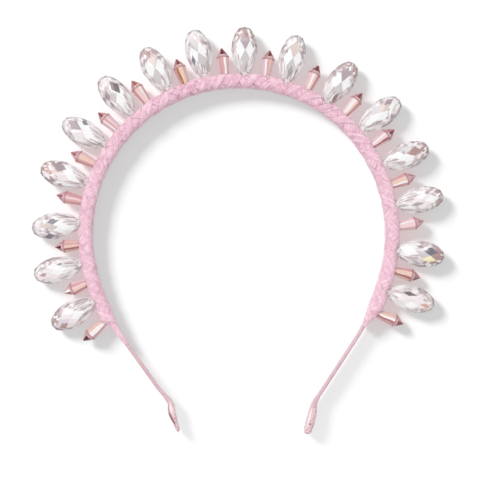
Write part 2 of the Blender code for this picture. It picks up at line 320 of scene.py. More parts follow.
# Each loop has a groove, set off from its outer side on the left and from its middle on the right, with
# painted shade in it. The painted highlight on the loop is measured from the middle, in shares of half
# the loop's width. A mark with a higher power ends more sharply lengthwise.
Mark = namedtuple("Mark", "far length power across width")
Tip = namedtuple("Tip", "outline groove_side groove_off groove_depth dark light")
TIPS = {
    -1: Tip(
        np.array(LEFT_TIP) * MM, 1.0, -0.5 * MM, 0.55 * MM,
        Mark(186.2 * MM, 2.6 * MM, 4, 0.0, 0.42 * MM),
        Mark(182.0 * MM, 2.4 * MM, 2, 0.10, 0.35),
    ),
    1: Tip(
        np.array(RIGHT_TIP) * MM, 0.0, 0.1 * MM, 0.22 * MM,
        Mark(187.4 * MM, 0.45 * MM, 2, 0.0, 0.50 * MM),
        Mark(185.0 * MM, 4.0 * MM, 4, -0.46, 0.27),
    ),
}


def strip_run(leg):
    """Stations along the strip on one side: distance from the crown, place and way outwards."""
    turn = math.radians(leg.turn)
    bend = math.radians(leg.tip_bend)
    easing = BAND_RADIUS + (LEG_TANGENT_RADIUS - BAND_RADIUS) / (1 - math.cos(turn))
    lengths = [BAND_RADIUS * BAND_ARC_HALF, easing * turn, leg.length, TIP_BEND_RADIUS * bend]
    knots = np.concatenate([[0.0], np.cumsum(lengths)])
    headings = np.concatenate([[0.0], np.cumsum([BAND_ARC_HALF, turn, 0.0, -bend])])
    distance = np.arange(0.0, leg.end + RUN_STEP / 2, RUN_STEP)
    heading = np.interp(distance + RUN_STEP / 2, knots, headings)
    steps = np.stack([leg.side * np.cos(heading), -np.sin(heading)], axis=1) * RUN_STEP
    place = np.cumsum(steps, axis=0) - steps
    place = place + np.array([ARCH_X, ARCH_Y + BAND_RADIUS])
    outwards = np.stack([leg.side * np.sin(heading), np.cos(heading)], axis=1)
    return distance, place, outwards, knots[3]


def only(item):
    """Select one object alone and make it the active one."""
    bpy.ops.object.select_all(action="DESELECT")
    item.select_set(True)
    bpy.context.view_layer.objects.active = item


def keep_levels(item, names, levels):
    """Store rows of numbers, one row for each corner of a mesh, for its finish to read by name."""
    for name, values in zip(names, np.transpose(levels)):
        layer = item.data.attributes.new(name, "FLOAT", "POINT")
        layer.data.foreach_set("value", np.asarray(values, dtype=np.float32))


def smooth_step(values, low, high):
    """From 0 to 1 between two limits, without a corner at either."""
    share = np.clip((values - low) / (high - low), 0.0, 1.0)
    return share * share * (3 - 2 * share)


def mark_share(mark, far, across):
    """How strongly a soft-edged mark on a tip shows at some places."""
    off_lengthwise = ((far - mark.far) / mark.length) ** mark.power
    off_sideways = ((across - mark.across) / mark.width) ** 2
    return np.exp(-off_lengthwise - off_sideways)


def strip_section(middle, half, half_height, groove, depth):
    """Corners of a rounded section of the strip, outwards and up, with a groove along its top."""
    round_off = min(STRIP_CORNER, half * CORNER_SHARE)
    turns = np.radians([0.0, 30.0, 60.0, 90.0])
    arc_x = half - round_off + round_off * np.cos(turns)
    arc_z = half_height - round_off + round_off * np.sin(turns)
    flat_x = np.linspace(half - round_off, round_off - half, FLAT_CORNERS + 2)[1:-1]
    top_x = np.concatenate([arc_x, flat_x, -arc_x[::-1]])
    top_z = np.concatenate([arc_z, np.full(FLAT_CORNERS, half_height), arc_z[::-1]])
    dip = depth * np.exp(-(((top_x + middle - groove) / GROOVE_HALF) ** 2))
    ring_x = np.concatenate([top_x, top_x[::-1]])
    ring_z = np.concatenate([top_z - dip, -(top_z - dip)[::-1]])
    return ring_x + middle, ring_z


def skin_rows(name, rows):
    """A closed body from equal rings of corners, its ends filled."""
    count = len(rows[0])
    faces = []
    for low in range(0, (len(rows) - 1) * count, count):
        for k in range(count):
            after = (k + 1) % count
            faces.append((low + k, low + count + k, low + count + after, low + after))
    faces.append(tuple(range(count)))
    faces.append(tuple(range(len(rows) * count - 1, (len(rows) - 1) * count - 1, -1)))
    mesh = bpy.data.meshes.new(name)
    mesh.from_pydata(np.concatenate(rows).tolist(), [], faces)
    made = bpy.data.objects.new(name, mesh)
    bpy.context.scene.collection.objects.link(made)
    only(made)
    bpy.ops.object.mode_set(mode="EDIT")
    bpy.ops.mesh.select_all(action="SELECT")
    bpy.ops.mesh.normals_make_consistent(inside=False)
    bpy.ops.object.mode_set(mode="OBJECT")
    bpy.ops.object.shade_smooth()
    return made


def strip_side(leg):
    """Rings of corners along one side of the strip, and what its finish has to know at each corner."""
    distance, place, outwards, bend_start = strip_run(leg)
    tip = TIPS[leg.side]
    fine_from = bend_start - FINE_BEFORE_BEND
    wanted = np.concatenate([np.arange(0.0, fine_from, STRIP_STEP), distance[distance > fine_from]])
    side_rows = []
    side_levels = []
    for index in np.round(wanted / RUN_STEP).astype(int):
        far = distance[index]
        middle = np.interp(far, tip.outline[:, 0], tip.outline[:, 1])
        half = np.interp(far, tip.outline[:, 0], tip.outline[:, 2])
        past = max(0.0, 1 - (leg.end - far) / ROUND_END)
        closing = math.sqrt(max(LEAST_CLOSING, 1 - past * past))
        in_tip = smooth_step(far, bend_start + GROOVE_STARTS[0], bend_start + GROOVE_STARTS[1])
        in_tip *= 1 - smooth_step(far, leg.end + GROOVE_ENDS[0], leg.end + GROOVE_ENDS[1])
        groove = middle + tip.groove_side * half + tip.groove_off
        height = STRIP_HALF_HEIGHT * (0.5 + 0.5 * closing)
        x, z = strip_section(middle, half * closing, height, groove, in_tip * tip.groove_depth)
        seam = (far + z * SEAM_LEAN_UP + x * SEAM_LEAN_OUT) / SEAM_PITCH * leg.side
        z = z * (1 + SEAM_HEIGHT * (0.5 - (seam - np.floor(seam))) / STRIP_HALF_HEIGHT)
        spots = place[index] + x[:, None] * outwards[index]
        side_rows.append(np.column_stack([spots, MIDDLE_LEVEL + z]))
        beside = (x - middle) / half
        # painted shade in the loop's groove, and a painted highlight on the loop
        dark = mark_share(tip.dark, far, x - groove)
        light = mark_share(tip.light, far, beside)
        along = np.full(len(x), leg.side * far / MM)
        side_levels.append(np.stack([along, beside, z / MM, dark, light], axis=1))
    return side_rows, side_levels


left_rows, left_levels = strip_side(LEGS[0])
right_rows, right_levels = strip_side(LEGS[1])
strip = skin_rows("covered_strip", left_rows[:0:-1] + right_rows)
levels = np.concatenate(left_levels[:0:-1] + right_levels)
keep_levels(strip, ("along", "out", "up", "dark", "light"), levels)

RIBBON = {
    "deep": (0.51, 0.30, 0.345),
    "pale": (0.66, 0.44, 0.48),
    "thread": (0.88, 0.72, 0.74),
    "seam": (0.50, 0.24, 0.29),
    "outer edge": (0.42, 0.19, 0.23),
    "light speck": (0.95, 0.82, 0.76),
    "dark speck": (0.40, 0.16, 0.17),
    "light mark": (1.0, 0.92, 0.89),
    "dark mark": (0.16, 0.03, 0.04),
}
THREAD_SCALE = (900.0, 900.0, 2600.0)
THREAD_DEPTH = 0.05 * MM
SPECK_SCALE = (1500.0, 1500.0, 500.0)
CLOUD_SCALE = 260.0
FOLD_STARTS = (178.0, 181.0)
SEAM_SHARE = 0.10
OUTER_EDGE = (0.25, 0.95)
LIGHT_SPECKS = (0.50, 0.58)
DARK_SPECKS = (0.36, 0.44)
band_finish = Finish("satin_ribbon", Roughness=0.5, Sheen_Weight=0.3)
where = band_finish.place()
along = band_finish.kept("along")
out = band_finish.kept("out")
up = band_finish.kept("up")
thread = band_finish.noise(band_finish.stretch(where, THREAD_SCALE), 1.0)
cloud = band_finish.noise(where, CLOUD_SCALE)
seam = abs(along) + up * SEAM_LEAN_UP + out * (SEAM_LEAN_OUT * STRIP_HALF / MM)
seam = band_finish.rest(seam / (SEAM_PITCH / MM))
line = band_finish.spread(seam, 0.0, SEAM_SHARE, 1.0, 0.0)
outer_edge = band_finish.spread(out, *OUTER_EDGE, 0.0, 0.65)
speck = band_finish.noise(band_finish.stretch(where, SPECK_SCALE), 1.0, 2.0)
folded = band_finish.spread(abs(along), *FOLD_STARTS, 0.0, 1.0)
tone = band_finish.mix(cloud, RIBBON["deep"], RIBBON["pale"])
# columns: how strongly a tint covers those before it, which tint
RIBBON_LAYERS = (
    (thread * 0.32, "thread"),
    (line * 0.45, "seam"),
    (outer_edge, "outer edge"),
    # the light specks on the folded tips are painted glints of the satin; the dark specks are mottling
    (folded * band_finish.spread(speck, *LIGHT_SPECKS, 0.0, 0.4), "light speck"),
    (folded * band_finish.spread(speck, *DARK_SPECKS, 0.32, 0.0), "dark speck"),
    # a painted highlight on each loop, and painted shade in its groove
    (band_finish.kept("light") * 0.85, "light mark"),
    (band_finish.kept("dark") * 0.9, "dark mark"),
)
for share, name in RIBBON_LAYERS:
    tone = band_finish.mix(share, tone, RIBBON[name])
band_finish.shade(Base_Color=tone, Normal=band_finish.bump(thread, THREAD_DEPTH))
strip.data.materials.append(band_finish.material)
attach(strip, "root")
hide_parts("band")


def light_past(light, item):
    """Let a light pass an object, which then casts no shadow of that light."""
    passed = bpy.data.collections.new(light.name + "_passes")
    passed.objects.link(item)
    light.light_linking.blocker_collection = passed
    passed.collection_objects[0].light_linking.link_state = "EXCLUDE"


# The thin legs' shadows are faint in soft light, so half of the low sun passes them.
light_past(sun_past_legs, strip)


# Wrap: matte, fibrous pink tape wound in crossing turns over the arch and the stones' inner ends.
# It is the wrap solid made fine, with each turn's edge raised over the turn before it. Two short
# sleeves of the same tape close its ends on the legs.
WRAP_MIDDLE = 1.05 * MM
WRAP_HALF_WIDTH = 3.05 * MM
WRAP_HALF_HEIGHT = 3.6 * MM
WRAP_GRAIN = 0.38 * MM
WRAP_GIRTH = 22.0 * MM
SAME_CORNER = 0.002 * MM
UNDER_PITCH = 9.2 * MM
OVER_PITCH = 9.9 * MM
OVER_START = 0.37
OVER_SHARE = 0.50
OVER_EDGE = 0.04
TURN_HEIGHT = 0.30 * MM
OVER_HEIGHT = 0.24 * MM
TURN_SINK = 0.10 * MM
UNDER_LOSS = 0.6
CALM_LOSS = 0.35
CRUMPLE = 0.13 * MM
LUMP_SCALE = 420.0
WRINKLE_SCALES = (900.0, 190.0, 5.0)
WRINKLE_SEED = 3.0
WRINKLE_SHARE = 0.7
RIDGE_SHARE = 0.6
RIDGE_HALF = 0.09
RIDGE_LUMPS = (-0.1, 0.35)
CALM_RUN = (35.0 * MM, 80.0 * MM)
SKIN_STARTS = (0.80, 0.95)
END_TAPER = 7.0 * MM
END_SQUEEZE = 0.30
END_FADE = 2.0 * MM
CHANNEL_HALF = 1.15 * MM
LAST_TURN_LEFT = 1.4 * MM
LAST_TURN_RIGHT = 3.8 * MM
LAST_TURN_STRAY = 0.5 * MM
LAST_TURN_HALF = 0.3 * MM
LAST_TURN_ACROSS = (-0.6, 0.2)
FIBRE_LEAN = 0.64
FIBRE_STEEP = 0.77
# how far the turns stray from an even pitch, and over what length
DRIFT = 12.0 * MM
DRIFT_LENGTH = 30.0 * MM
STRAY = 1.5 * MM
STRAY_SHORT = 4.1 * MM
STRAY_LONG = 13.0 * MM
SWAY = 1.1 * MM
SWAY_LENGTH = 8.3 * MM


def arch_run():
    """Both sides of the strip as far as its legs go straight."""
    columns = []
    for leg in LEGS:
        distance, place, outwards, bend_start = strip_run(leg)
        kept = distance < bend_start
        onwards = np.stack([outwards[:, 1], -outwards[:, 0]], axis=1)
        columns.append((leg.side * distance[kept], place[kept], outwards[kept], onwards[kept]))
    return [np.concatenate(column) for column in zip(*columns)]


def along_and_out(corners):
    """How far round the arch and how far out from the strip's middle each corner is, and the way out."""
    distance, place, outwards, onwards = arch_run()
    tree = KDTree(len(place))
    for index, spot in enumerate(place):
        tree.insert((spot[0], spot[1], 0.0), index)
    tree.balance()
    nearest = np.array([tree.find((corner[0], corner[1], 0.0))[1] for corner in corners])
    offset = corners[:, :2] - place[nearest]
    along = distance[nearest] + (offset * onwards[nearest]).sum(axis=1)
    return along, (offset * outwards[nearest]).sum(axis=1), outwards[nearest]


def read_corners(item, kind):
    """The places ("co") or the ways outwards ("normal") of all corners of a mesh as an array."""
    values = np.empty(len(item.data.vertices) * 3)
    item.data.vertices.foreach_get(kind, values)
    return values.reshape(-1, 3)


def write_corners(item, corners):
    """Put the corners of a mesh in new places."""
    item.data.vertices.foreach_set("co", corners.ravel())
    item.data.update()


def copy_solid(name, node):
    """A merged copy of a solid under a new name."""
    made = bpy.data.objects.new(name, node.data.copy())
    bpy.context.scene.collection.objects.link(made)
    made.data.materials.clear()
    only(made)
    bpy.ops.object.mode_set(mode="EDIT")
    bpy.ops.mesh.select_all(action="SELECT")
    bpy.ops.mesh.remove_doubles(threshold=SAME_CORNER)
    bpy.ops.object.mode_set(mode="OBJECT")
    return made


def noise_at(columns, seed):
    """Smooth noise at rows of three numbers."""
    return np.array([noise.noise(Vector(row) + Vector((seed, 0.0, 0.0))) for row in columns])


tape = copy_solid("wound_tape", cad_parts["wrap"])
tape.data.remesh_voxel_size = WRAP_GRAIN
bpy.ops.object.voxel_remesh()
corners = read_corners(tape, "co")
normals = read_corners(tape, "normal")
along, out, ways_out = along_and_out(corners)
across = (out - WRAP_MIDDLE) / WRAP_HALF_WIDTH
up = (corners[:, 2] - MIDDLE_LEVEL) / WRAP_HALF_HEIGHT
fullness = (np.abs(across) ** 3 + np.abs(up) ** 3) ** (1 / 3)
skin = smooth_step(fullness, *SKIN_STARTS)
around = np.arctan2(across, up) / math.pi

# the turns of the lower layer lie under those of the upper one, which lean the other way
hand = along + DRIFT * np.tanh(along / DRIFT_LENGTH)
hand += STRAY * np.sin(along / STRAY_SHORT) * np.sin(along / STRAY_LONG)
hand += SWAY * np.sin(along / SWAY_LENGTH + 1.0)
under = hand / UNDER_PITCH + around
over = hand / OVER_PITCH - around + OVER_START
under_part = under - np.floor(under)
over_part = over - np.floor(over)
covered = smooth_step(over_part, 0.0, OVER_EDGE)
covered *= 1 - smooth_step(over_part, OVER_SHARE - OVER_EDGE, OVER_SHARE)
swell = np.sin(np.clip(over_part / OVER_SHARE, 0.0, 1.0) * math.pi)
height = TURN_HEIGHT * (0.5 - under_part) * (1 - UNDER_LOSS * covered)
height += OVER_HEIGHT * covered * (0.55 + 0.45 * swell) - TURN_SINK
height *= 1 - CALM_LOSS * smooth_step(np.abs(along), *CALM_RUN)

# wrinkles run along the tape of the layer that is seen
girth = around * WRAP_GIRTH / 2
lean = np.where(covered > 0.5, -1.0, 1.0)
over_tape = FIBRE_STEEP * along + lean * FIBRE_LEAN * girth
down_tape = FIBRE_STEEP * girth - lean * FIBRE_LEAN * along
ways = np.stack([over_tape, down_tape, covered.round()], axis=1) * np.array(WRINKLE_SCALES)
wrinkle = noise_at(ways, WRINKLE_SEED)
lumps = noise_at(corners * LUMP_SCALE, 0.0)
ridge = np.exp(-((wrinkle / RIDGE_HALF) ** 2)) * smooth_step(lumps, *RIDGE_LUMPS)
height += CRUMPLE * (lumps + WRINKLE_SHARE * wrinkle - RIDGE_SHARE * ridge)

# the ends are pressed down onto the legs, and the last turn's edge gets a line of painted shade
first = along.min()
last = along.max()
to_end = np.where(along < 0, along - first, last - along)
squeeze = END_SQUEEZE + (1 - END_SQUEEZE) * smooth_step(to_end, 0.0, END_TAPER)
last_turn = np.where(along < 0, LAST_TURN_LEFT, LAST_TURN_RIGHT) + LAST_TURN_STRAY * lumps
last_edge = np.exp(-(((to_end - last_turn) / LAST_TURN_HALF) ** 2))
ridge = np.maximum(ridge, last_edge * smooth_step(across, *LAST_TURN_ACROSS))
corners += normals * (height * skin * smooth_step(to_end, 0.0, END_FADE))[:, None]
beyond = np.minimum(out + CHANNEL_HALF, 0.0)
corners[:, :2] -= ways_out * (beyond * (1 - squeeze))[:, None]
corners[:, 2] = np.maximum(corners[:, 2], 0.0)
write_corners(tape, corners)
bpy.ops.object.shade_smooth()
TAPE_LEVELS = ("along", "hand", "across", "up", "ridge")
levels = np.stack([along / MM, hand / MM, across, up, ridge * skin], axis=1)
keep_levels(tape, TAPE_LEVELS, levels)

TAPE = {
    "deep": (0.70, 0.37, 0.49),
    "pale": (0.80, 0.50, 0.60),
    "in a pleat": (0.50, 0.22, 0.33),
    "on a pleat": (0.98, 0.82, 0.88),
    "fibre": (0.93, 0.72, 0.79),
    "mottle": (0.55, 0.26, 0.36),
    "on the legs": (0.90, 0.65, 0.74),
    "under an edge": (0.56, 0.28, 0.38),
    "on an edge": (1.0, 0.86, 0.91),
    "crease": (0.38, 0.15, 0.23),
}
WAVER_SCALE = 330.0
PATCH_SCALE = 140.0
MOTTLE_SCALE = 1300.0
TAPE_CLOUD_SCALE = 230.0
TAPE_DEPTH = 0.14 * MM
CALM_LEVEL = 0.55
WAVER = 0.10
FIBRE_SCALES = (2.1, 0.35)
PLEAT_SCALES = (1.1, 0.10)
LAYER_STEP = 5.0
# shares of a turn: how wide its painted crease shade and soft shade are, where its painted highlights lie
BESIDE_CREASE = 0.045
UNDER_CREASE = 0.040
SHADE_WIDTH = 0.16
OVER_LINE = 0.030
UNDER_LINE = 0.065
LINE_HALF = 0.030
wrap_finish = Finish("matte_ribbon", Roughness=0.9, Sheen_Weight=0.4)
where = wrap_finish.place()
along, hand, across, up, ridge = [wrap_finish.kept(name) for name in TAPE_LEVELS]
waver = wrap_finish.noise(where, WAVER_SCALE, 2.0) - 0.5
around = wrap_finish.node("Math", {"operation": "ARCTAN2"}, {0: across, 1: up}) / math.pi
under = hand / (UNDER_PITCH / MM) + around + waver * WAVER
over = hand / (OVER_PITCH / MM) - around + OVER_START + waver * WAVER
under_part = wrap_finish.rest(under)
over_part = wrap_finish.rest(over)
covered = over_part < OVER_SHARE
open_part = 1.0 - covered

# painted shade in dark lines where an edge lies, a painted highlight along it, and a soft painted shade
# on the turn below
under_edge = 0.5 - abs(under_part - 0.5)
over_edge = 0.5 * OVER_SHARE - abs(over_part - 0.5 * OVER_SHARE)
beside_edge = 0.5 * (1 - OVER_SHARE) - abs(over_part - 0.5 * (1 + OVER_SHARE))
patchy = wrap_finish.spread(wrap_finish.noise(where, PATCH_SCALE, 1.0), 0.35, 0.60, 0.25, 1.0)
crease = wrap_finish.spread(beside_edge, 0.0, BESIDE_CREASE, 1.0, 0.0) * open_part
crease = crease + wrap_finish.spread(under_edge, 0.0, UNDER_CREASE, 0.9, 0.0) * open_part
calm = wrap_finish.spread(abs(along), CALM_RUN[0] / MM, CALM_RUN[1] / MM, 1.0, CALM_LEVEL)
# the thin wrinkles and the last turn's edge get painted shade as well
crease = (crease * patchy + ridge * 0.7) * calm
edge_highlight = wrap_finish.spread(abs(over_edge - OVER_LINE), 0.0, LINE_HALF, 1.0, 0.0) * covered
under_edge_highlight = wrap_finish.spread(abs(under_edge - UNDER_LINE), 0.0, LINE_HALF, 0.7, 0.0)
edge_highlight = edge_highlight + under_edge_highlight * open_part
shade = wrap_finish.spread(beside_edge, 0.0, SHADE_WIDTH, 1.0, 0.0) * open_part

# fibres run along the tape, so one way on the upper turns and the other way on the lower ones
girth = around * (WRAP_GIRTH / MM / 2)
lean = (1.0 - covered * 2.0) * FIBRE_LEAN
over_tape = along * FIBRE_STEEP + girth * lean
down_tape = girth * FIBRE_STEEP - along * lean
layer = covered * LAYER_STEP
ways = wrap_finish.join(over_tape * FIBRE_SCALES[0], down_tape * FIBRE_SCALES[1], layer)
fibre = wrap_finish.noise(ways, 1.0, 4.0, 0.65)
ways = wrap_finish.join(over_tape * PLEAT_SCALES[0], down_tape * PLEAT_SCALES[1], layer)
pleat = wrap_finish.noise(ways, 1.0, 2.0, 0.55)
mottle = wrap_finish.noise(where, MOTTLE_SCALE, 3.0, 0.6)
cloud = wrap_finish.noise(where, TAPE_CLOUD_SCALE)
tone = wrap_finish.mix(wrap_finish.spread(cloud, 0.35, 0.65, 0.0, 1.0), TAPE["deep"], TAPE["pale"])
# columns: how strongly a tint covers those before it, which tint
TAPE_LAYERS = (
    # painted shade in the hollows of the pleats and a painted highlight on their tops
    (wrap_finish.spread(pleat, 0.32, 0.47, 0.45, 0.0), "in a pleat"),
    (wrap_finish.spread(pleat, 0.53, 0.66, 0.0, 0.45), "on a pleat"),
    (wrap_finish.spread(fibre, 0.42, 0.66, 0.0, 0.65), "fibre"),
    (wrap_finish.spread(mottle, 0.32, 0.48, 0.45, 0.0), "mottle"),
    ((1.0 - calm) * 0.3, "on the legs"),
    (shade * calm * 0.35, "under an edge"),
    (edge_highlight * patchy * calm * 0.5, "on an edge"),
    (crease * 0.8, "crease"),
)
for share, name in TAPE_LAYERS:
    tone = wrap_finish.mix(share, tone, TAPE[name])
wrap_finish.shade(Base_Color=tone, Normal=wrap_finish.bump(fibre + mottle + pleat, TAPE_DEPTH))
tape.data.materials.append(wrap_finish.material)
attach(tape, "root")
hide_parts("wrap")

# the sleeves, thick where they leave the wrap and as thin as the strip where they end
SLEEVE_NAMES = {-1: "tape_sleeve_left", 1: "tape_sleeve_right"}
SLEEVE_REACHES = {-1: 10.5 * MM, 1: 3.0 * MM}
SLEEVE_OVERLAP = 2.5 * MM
SLEEVE_HALF = 1.60 * MM
SLEEVE_SPARE = 0.08 * MM
SLEEVE_SPARE_UP = 0.1 * MM
SLEEVE_RISE = 0.7 * MM
SLEEVE_OFF = 0.25 * MM
SLEEVE_EASE = 0.8
SLEEVE_PITCH = 4.2 * MM
SLEEVE_LEAN_UP = 0.9
SLEEVE_LEAN_OUT = 0.5
SLEEVE_TURN_LIFT = 0.07
SLEEVE_HAND = 1.6
for leg in LEGS:
    distance, place, outwards, bend_start = strip_run(leg)
    start = abs(first) if leg.side < 0 else last
    reach = SLEEVE_REACHES[leg.side]
    rows = []
    levels = []
    for index in np.nonzero((distance > start - SLEEVE_OVERLAP) & (distance < start + reach))[0]:
        share = (distance[index] - start + SLEEVE_OVERLAP) / (reach + SLEEVE_OVERLAP)
        half = SLEEVE_HALF + (STRIP_HALF + SLEEVE_SPARE - SLEEVE_HALF) * share**SLEEVE_EASE
        half_height = STRIP_HALF_HEIGHT + SLEEVE_SPARE_UP + SLEEVE_RISE * (1 - share)
        x, z = strip_section(SLEEVE_OFF * (1 - share), half, half_height, 0.0, 0.0)
        turn = (distance[index] + SLEEVE_LEAN_UP * z + SLEEVE_LEAN_OUT * x) / SLEEVE_PITCH
        lift = 1 + SLEEVE_TURN_LIFT * (1 - share) * (0.5 - (turn - np.floor(turn)))
        spots = place[index] + (x * lift)[:, None] * outwards[index]
        rows.append(np.column_stack([spots, MIDDLE_LEVEL + z * lift]))
        far = np.full(len(x), leg.side * distance[index] / MM)
        levels.append(np.stack([far, far * SLEEVE_HAND, x / half, z / half_height, far * 0], axis=1))
    sleeve = skin_rows(SLEEVE_NAMES[leg.side], rows)
    keep_levels(sleeve, TAPE_LEVELS, np.concatenate(levels))
    sleeve.data.materials.append(wrap_finish.material)
    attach(sleeve, "root")


# Clear drops: cut glass teardrops with staggered rows of flat facets, bound by their inner ends
# under the tape. Each facet's tint is a painted reflection of light and shade, on a pattern that follows the
# stone.
def stone_place(finish, node):
    """Places measured from a stone's middle, +Y to its outer point; with their X and their Y."""
    corners = np.array([tuple(vert.co) for vert in node.data.vertices])
    middle = (corners.min(axis=0) + corners.max(axis=0)) / 2
    spread = np.cov((corners - corners.mean(axis=0)).T)
    way = np.linalg.eigh(spread)[1][:, -1]
    outwards = corners.mean(axis=0) - np.array([ARCH_X, ARCH_Y, STONE_LEVEL])
    if way @ outwards < 0:
        way = -way
    along = (corners - middle) @ way
    middle = middle + way * (along.min() + along.max()) / 2
    turn = (0.0, 0.0, math.atan2(way[1], way[0]) - math.pi / 2)
    sockets = {"Vector": finish.place(), "Location": tuple(middle), "Rotation": turn}
    inside = finish.node("Mapping", {"vector_type": "TEXTURE"}, sockets)
    return inside, finish.part(inside, 0), finish.part(inside, 1)


def stone_half(finish, y, reach, outline, unit):
    """The share of a stone's length at each place, and half its width there."""
    stops = [(place, (half, half, half)) for place, half in outline]
    share = finish.spread(y, -reach, reach, 0.0, 1.0)
    return share, finish.node("ValToRGB", {"stops": stops}, {"Fac": share}) * unit


# tints of the clear drops' painted reflections
TINTS = {
    "W": (1.00, 1.00, 1.00),
    "P": (0.93, 0.85, 0.87),
    "G": (0.66, 0.62, 0.63),
    "L": (0.76, 0.68, 0.74),
    "M": (0.38, 0.28, 0.33),
    "D": (0.13, 0.08, 0.09),
    "S": (0.17, 0.17, 0.22),
    "R": (0.46, 0.28, 0.27),
    "T": (0.78, 0.64, 0.60),
    "Y": (0.98, 0.90, 0.58),
    "O": (0.38, 0.37, 0.34),
    "B": (0.26, 0.15, 0.13),
    "V": (0.46, 0.37, 0.41),
    "A": (0.72, 0.38, 0.28),
}
# columns: place sideways and lengthwise where four facets meet, turn and size of the facets,
# painted reflection tints above, right, below, left of it and at the tip
DROP_LOOKS = (
    (-1.2, 2.6, 0.0, 1.00, "LPWPR"),
    (-0.7, 3.4, 0.0, 0.90, "PPWPG"),
    (0.6, 1.3, 0.0, 0.68, "TSWGP"),
    (0.9, 0.3, -14.0, 1.00, "TWWPR"),
    (0.5, 1.6, -6.0, 1.00, "MWWPP"),
    (0.5, 0.6, -14.0, 0.90, "WWWGP"),
    (0.0, 0.7, -14.0, 1.00, "TWGWR"),
    (-0.1, 0.6, 14.0, 1.00, "GWGWP"),
    (0.3, 0.6, 0.0, 1.00, "VWGWR"),
    (0.2, 0.5, 0.0, 1.00, "TWGWG"),
    (0.4, 0.8, 12.0, 1.00, "VWGWR"),
    (-0.5, 0.4, 8.0, 0.90, "TWWGP"),
    (-0.6, 0.4, -6.0, 0.95, "RWWGR"),
    (0.8, 1.8, 0.0, 0.95, "WPPPR"),
    (0.1, 4.3, 0.0, 0.86, "RYGSR"),
    (0.8, 0.8, 8.0, 0.95, "PWPPT"),
)
# columns: drop, place sideways and lengthwise, half width and half length,
# painted reflection tint of one more facet
DROP_ACCENTS = (
    (1, -2.3, 6.0, 1.3, 2.4, "R"),
    (2, -0.6, 6.2, 0.9, 1.8, "R"),
    (2, 2.2, -1.4, 0.7, 1.3, "S"),
    (2, -1.2, -8.2, 0.8, 1.7, "O"),
    (3, -4.0, 3.1, 1.2, 2.3, "S"),
    (3, -1.7, -3.2, 2.4, 4.6, "W"),
    (4, 2.4, 3.1, 2.0, 3.6, "M"),
    (4, -0.2, -8.0, 0.8, 1.6, "M"),
    (4, -0.7, 7.0, 0.7, 1.9, "A"),
    (5, 3.8, 1.8, 0.9, 1.6, "S"),
    (5, -0.9, -8.0, 0.7, 1.8, "O"),
    (6, 2.0, 3.5, 1.8, 3.6, "D"),
    (6, -3.2, 2.2, 1.1, 1.7, "M"),
    (7, 0.4, 7.0, 1.0, 2.1, "R"),
    (8, -2.7, -2.4, 0.8, 2.6, "S"),
    (9, 0.2, 7.0, 1.6, 2.2, "R"),
    (10, 0.5, -5.2, 1.1, 2.7, "O"),
    (11, 2.0, -6.2, 0.9, 2.8, "B"),
    (12, -2.0, 6.2, 1.3, 2.6, "M"),
    (12, 0.0, -5.6, 1.3, 4.2, "W"),
    (13, -1.4, -0.4, 1.1, 0.9, "O"),
    (14, 1.7, -1.3, 0.9, 3.2, "O"),
    (15, -2.9, -0.4, 0.6, 1.6, "M"),
    (15, 0.0, -5.4, 1.9, 4.8, "W"),
    (16, -1.9, -1.0, 1.0, 2.9, "D"),
    (16, 1.0, 6.6, 0.8, 2.6, "A"),
)
EDGE_TINT = (0.36, 0.29, 0.28)
RIM_LIGHT = (0.70, 0.59, 0.59)
RIM_MIDDLE = (0.44, 0.34, 0.35)
POINT_TINT = (0.30, 0.23, 0.235)
NO_LIGHT = (0.0, 0.0, 0.0)
LED_LIGHT = (0.30, 0.275, 0.28)
FLECK_STOPS = (
    (0.0, TINTS["W"]), (0.26, TINTS["P"]), (0.42, RIM_LIGHT), (0.70, RIM_MIDDLE), (0.88, TINTS["M"]),
)
STREAK_STOPS = ((0.35, TINTS["M"]), (0.41, RIM_MIDDLE), (0.47, RIM_LIGHT), (0.53, TINTS["W"]))
FACET_WIDTH = 4.05 * MM
FACET_LENGTH = 7.6 * MM
RIM_WIDTHS = (0.42 * MM, 0.95 * MM)
FACET_LINE = (0.01, 0.04)
FACET_BEND = 0.10
FACETS_END = 0.86
RAGGED_END = 0.96
RAGGEDNESS = 0.7
SPIN_CELLS = 3.5
SPIN_BEND = 1.3
RISE_CELLS = 7.5
RISE_POWER = 1.6
STREAK_SCALES = (6.8, 115.0)
BEND_SCALE = 330.0
FLECK_SCALE = 900.0
GLASS_IOR = 1.52
FACET_IOR = 1.6
FACET_SHARE = 0.78
DROP_REACH = 10.6 * MM
DROP_UNIT = 6.0 * MM
# columns: share of the length from the inner to the outer end, half the width in units of 6 mm
DROP_OUTLINE = (
    (0.0, 0.10), (0.052, 0.323), (0.146, 0.583), (0.321, 0.817), (0.533, 0.925), (0.698, 0.855),
    (0.849, 0.683), (0.960, 0.400), (1.0, 0.10),
)
